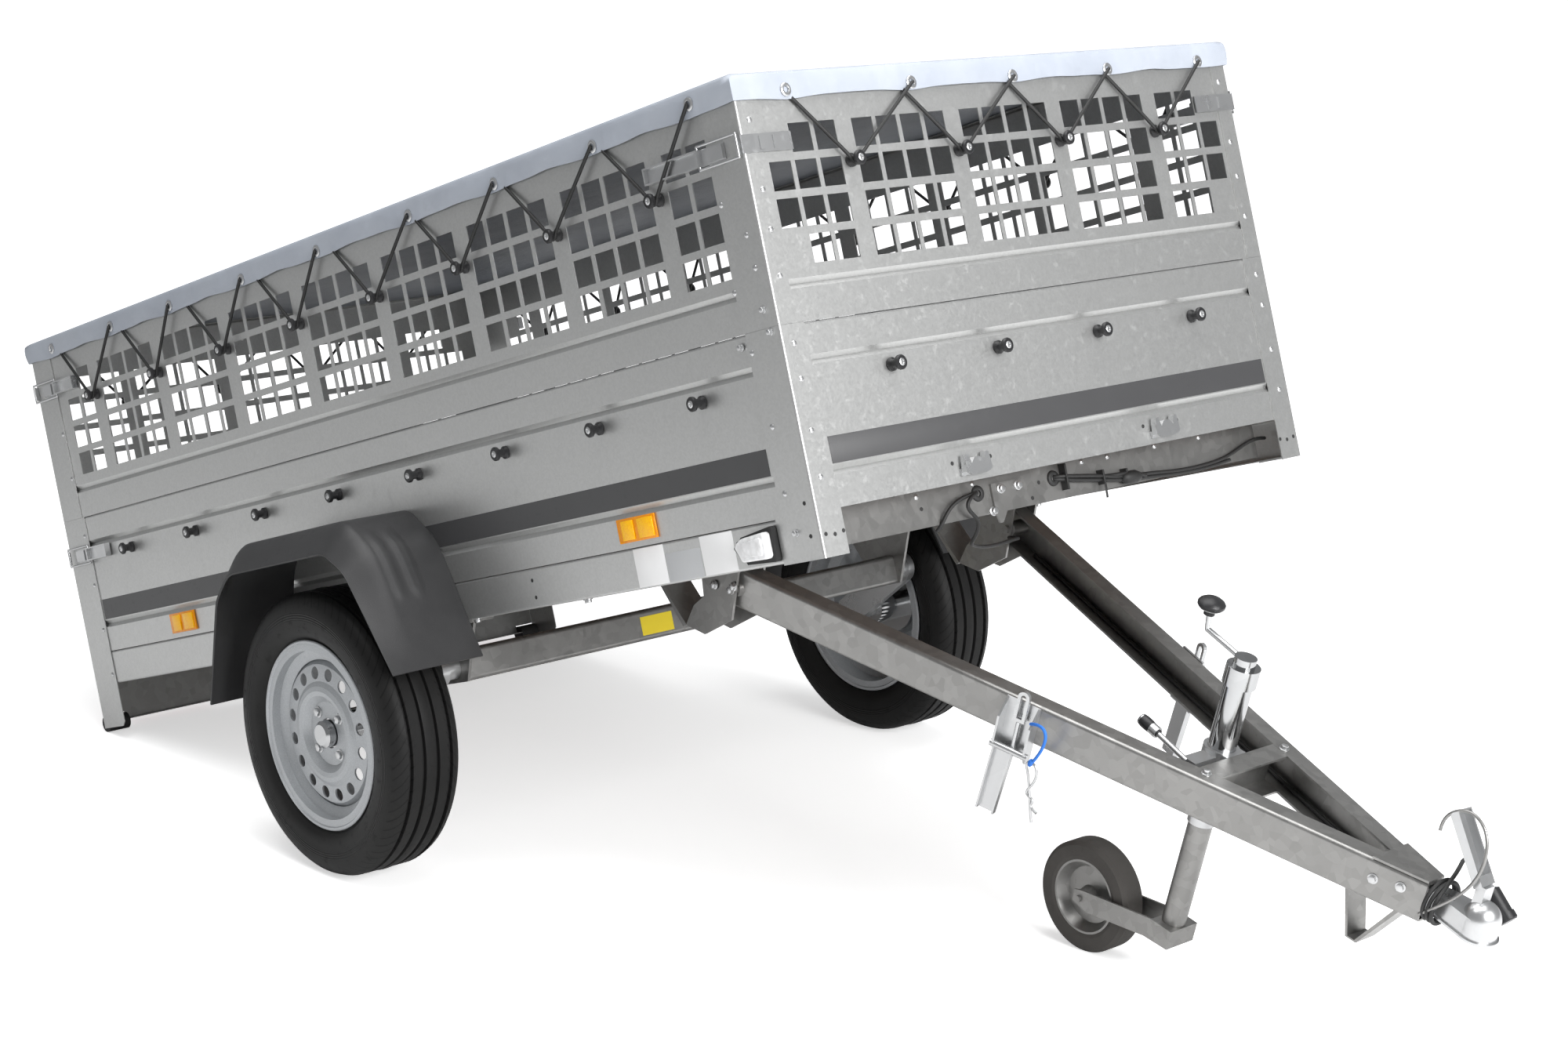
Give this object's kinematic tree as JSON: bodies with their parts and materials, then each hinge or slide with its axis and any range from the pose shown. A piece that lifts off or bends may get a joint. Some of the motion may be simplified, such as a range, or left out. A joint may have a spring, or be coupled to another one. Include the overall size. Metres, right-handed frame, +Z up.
{
  "type": "utility trailer",
  "caption": "Tipping utility trailer: steel box with a laced flat cover over a mesh tier, bottom-hung tailgate, road wheels under guards, V drawbar, ball coupler and jockey wheel.",
  "frame": {"origin": "on the ground under the middle of the overall box", "axes": "+X forward towards the coupler, +Y to the trailer's left, +Z up"},
  "size_m": [3.4814, 1.586, 1.5426],
  "materials": {
    "galvanised": "spangled zinc",
    "zinc_steel": "satin zinc",
    "chromed_steel": "bright",
    "rim_paint": "satin silver grey",
    "plywood": "dark film faced",
    "cover_sheet": "coated, semi-matt",
    "black_plastic": "fine grain",
    "black_rubber": "matt",
    "grey_rubber": "matt",
    "lamp_housing": "moulded lens",
    "tyre": "matt"
  },
  "bodies": {
    "bed": {"side_rails": "galvanised", "cross_members": "galvanised", "floor_panel": "plywood", "lower_sides": "galvanised", "lower_front": "galvanised", "corner_posts": "galvanised", "mesh_sides": "galvanised", "mesh_ends": "galvanised", "cover": "cover_sheet", "lacing_knobs": "black_plastic", "tailgate_hinges": "galvanised", "axle": "galvanised", "swing_arms": "zinc_steel", "mudguards": "black_plastic", "tilt_brackets": "galvanised", "front_hooks": "zinc_steel", "guide_plate": "galvanised", "marker_lamps": "black_rubber", "rear_lamps": "lamp_housing", "rear_buffers": "black_rubber", "toggle_latches": "zinc_steel"},
    "tailgate": {"tailgate": "galvanised", "tailgate_knobs": "black_plastic"},
    "wheel_left": {"tyre_left": "tyre", "rim_left": "rim_paint", "hub_left": "chromed_steel"},
    "wheel_right": {"tyre_right": "tyre", "rim_right": "rim_paint", "hub_right": "chromed_steel"},
    "drawbar": {"drawbar_arms": "galvanised", "drawbar_cross": "galvanised", "nose_plate": "galvanised", "coupler": "zinc_steel", "coupler_handle": "zinc_steel", "stirrup": "galvanised", "arm_clamps": "zinc_steel", "jockey_clamp": "zinc_steel", "jockey_tube": "chromed_steel", "jockey_crank": "zinc_steel", "harness_cable": "black_plastic", "harness_plug": "black_plastic"},
    "jockey_leg": {"jockey_leg": "zinc_steel"},
    "jockey_fork": {"jockey_fork": "zinc_steel"},
    "jockey_wheel": {"jockey_tyre": "grey_rubber", "jockey_rim": "zinc_steel"}
  },
  "joints": [
    {"name": "tailgate_hinge", "type": "hinge", "parent": "bed", "child": "tailgate", "pos_m": [-1.54496, 0, 0.17101], "axis": [0, -1, 0], "range_deg": [0, 90]},
    {"name": "wheel_left_spin", "type": "hinge", "parent": "bed", "child": "wheel_left", "pos_m": [-0.34864, 0.702, 0.2735], "axis": [0, 1, 0], "continuous": true},
    {"name": "wheel_right_spin", "type": "hinge", "parent": "bed", "child": "wheel_right", "pos_m": [-0.34864, -0.702, 0.2735], "axis": [0, 1, 0], "continuous": true},
    {"name": "box_tilt", "type": "hinge", "parent": "bed", "child": "drawbar", "pos_m": [0.39742, 0, 0.62242], "axis": [0, -1, 0], "range_deg": [-2.7, 32.3]},
    {"name": "jockey_slide", "type": "slide", "parent": "drawbar", "child": "jockey_leg", "axis": [0.2756, 0, 0.9613], "range_m": [-0.06, 0.15]},
    {"name": "jockey_swivel", "type": "hinge", "parent": "jockey_leg", "child": "jockey_fork", "pos_m": [1.19159, 0, 0.43162], "axis": [0.2756, 0, 0.9613], "continuous": true},
    {"name": "jockey_wheel_spin", "type": "hinge", "parent": "jockey_fork", "child": "jockey_wheel", "pos_m": [0.91029, 0, 0.1], "axis": [0, 1, 0], "continuous": true}
  ]
}
